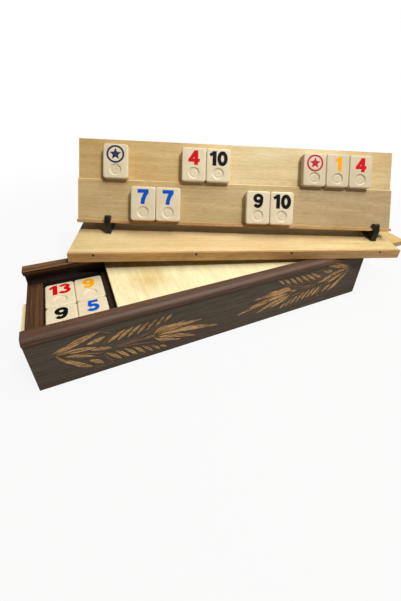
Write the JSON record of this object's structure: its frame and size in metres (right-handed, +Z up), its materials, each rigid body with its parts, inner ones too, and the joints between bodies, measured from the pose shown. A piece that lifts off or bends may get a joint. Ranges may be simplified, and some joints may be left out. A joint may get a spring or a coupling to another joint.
{
  "type": "rummy tile case",
  "caption": "Long dark wooden tile case with a sliding plywood lid and carved front, filled with number tiles, with a tile rack lying across it and a rack on clip feet holding tiles.",
  "frame": {"origin": "centre of the case's underside, on the bottom panel", "axes": "+X along the case, the way the lid opens; -Y towards the carved front; +Z up"},
  "size_m": [0.4383, 0.2052, 0.166],
  "materials": {
    "dark_wall_wood": "matt dark stain with faint grain",
    "dark_rail_wood": "satin varnished dark walnut stain",
    "lid_plywood": "satin varnished pale plywood",
    "pale_wood": "satin varnished pale wood",
    "ivory_plastic": "smooth moulded, soft gloss",
    "black_plastic": "moulded, semi-matt",
    "nail_steel": "dull steel"
  },
  "bodies": {
    "case": {"front_wall": "dark_wall_wood", "back_wall": "dark_wall_wood", "left_end_wall": "dark_rail_wood", "right_end_wall": "dark_rail_wood", "bottom_panel": "pale_wood", "divider": "dark_rail_wood", "front_rail": "dark_rail_wood", "back_rail": "dark_rail_wood", "left_end_grip": "pale_wood", "case_tile_red_13": "ivory_plastic", "case_tile_orange_9": "ivory_plastic", "case_tile_black_9": "ivory_plastic", "case_tile_blue_5": "ivory_plastic", "case_tiles_top_back_row": "ivory_plastic", "case_tiles_top_front_row": "ivory_plastic", "case_tiles_third_layer": "ivory_plastic", "case_tiles_second_layer": "ivory_plastic", "case_tiles_bottom_layer": "ivory_plastic"},
    "lid": {"lid": "lid_plywood"},
    "lying_rack": {"lying_rack_back_panel": "pale_wood", "lying_rack_lower_panel": "pale_wood", "lying_rack_lip": "pale_wood", "lying_rack_nails": "nail_steel"},
    "standing_rack": {"standing_rack_back_panel": "pale_wood", "standing_rack_lower_panel": "pale_wood", "standing_rack_lip": "pale_wood", "standing_rack_nails": "nail_steel"},
    "left_foot": {"left_foot": "black_plastic"},
    "right_foot": {"right_foot": "black_plastic"},
    "rack_tile_blue_joker": {"rack_tile_blue_joker": "ivory_plastic"},
    "rack_tile_red_4_left": {"rack_tile_red_4_left": "ivory_plastic"},
    "rack_tile_black_10_upper": {"rack_tile_black_10_upper": "ivory_plastic"},
    "rack_tile_red_joker": {"rack_tile_red_joker": "ivory_plastic"},
    "rack_tile_orange_1": {"rack_tile_orange_1": "ivory_plastic"},
    "rack_tile_red_4_right": {"rack_tile_red_4_right": "ivory_plastic"},
    "rack_tile_blue_7_left": {"rack_tile_blue_7_left": "ivory_plastic"},
    "rack_tile_blue_7_right": {"rack_tile_blue_7_right": "ivory_plastic"},
    "rack_tile_black_9": {"rack_tile_black_9": "ivory_plastic"},
    "rack_tile_black_10_lower": {"rack_tile_black_10_lower": "ivory_plastic"}
  },
  "joints": [
    {"name": "lid_slide", "type": "slide", "parent": "case", "child": "lid", "axis": [1, 0, 0], "range_m": [-0.075, 0.25]},
    {"name": "lying_rack_lift", "type": "slide", "parent": "case", "child": "lying_rack", "axis": [0, 0, 1], "range_m": [0, 0.12]},
    {"name": "standing_rack_lift", "type": "slide", "parent": "lying_rack", "child": "standing_rack", "axis": [0, 0, 1], "range_m": [0, 0.1]},
    {"name": "left_foot_slide", "type": "slide", "parent": "standing_rack", "child": "left_foot", "axis": [0.9275, -0.373, -0.0261], "range_m": [-0.029, 0.02]},
    {"name": "right_foot_slide", "type": "slide", "parent": "standing_rack", "child": "right_foot", "axis": [0.9275, -0.373, -0.0261], "range_m": [-0.03, 0.012]},
    {"name": "lift_blue_joker", "type": "slide", "parent": "standing_rack", "child": "rack_tile_blue_joker", "axis": [0.2025, 0.4422, 0.8738], "range_m": [0, 0.045]},
    {"name": "lift_red_4_left", "type": "slide", "parent": "standing_rack", "child": "rack_tile_red_4_left", "axis": [0.2025, 0.4422, 0.8738], "range_m": [0, 0.045]},
    {"name": "lift_black_10_upper", "type": "slide", "parent": "standing_rack", "child": "rack_tile_black_10_upper", "axis": [0.2025, 0.4422, 0.8738], "range_m": [0, 0.045]},
    {"name": "lift_red_joker", "type": "slide", "parent": "standing_rack", "child": "rack_tile_red_joker", "axis": [0.2025, 0.4422, 0.8738], "range_m": [0, 0.045]},
    {"name": "lift_orange_1", "type": "slide", "parent": "standing_rack", "child": "rack_tile_orange_1", "axis": [0.2025, 0.4422, 0.8738], "range_m": [0, 0.045]},
    {"name": "lift_red_4_right", "type": "slide", "parent": "standing_rack", "child": "rack_tile_red_4_right", "axis": [0.2025, 0.4422, 0.8738], "range_m": [0, 0.045]},
    {"name": "lift_blue_7_left", "type": "slide", "parent": "standing_rack", "child": "rack_tile_blue_7_left", "axis": [0.2025, 0.4422, 0.8738], "range_m": [0, 0.045]},
    {"name": "lift_blue_7_right", "type": "slide", "parent": "standing_rack", "child": "rack_tile_blue_7_right", "axis": [0.2025, 0.4422, 0.8738], "range_m": [0, 0.045]},
    {"name": "lift_black_9", "type": "slide", "parent": "standing_rack", "child": "rack_tile_black_9", "axis": [0.2025, 0.4422, 0.8738], "range_m": [0, 0.045]},
    {"name": "lift_black_10_lower", "type": "slide", "parent": "standing_rack", "child": "rack_tile_black_10_lower", "axis": [0.2025, 0.4422, 0.8738], "range_m": [0, 0.045]}
  ]
}
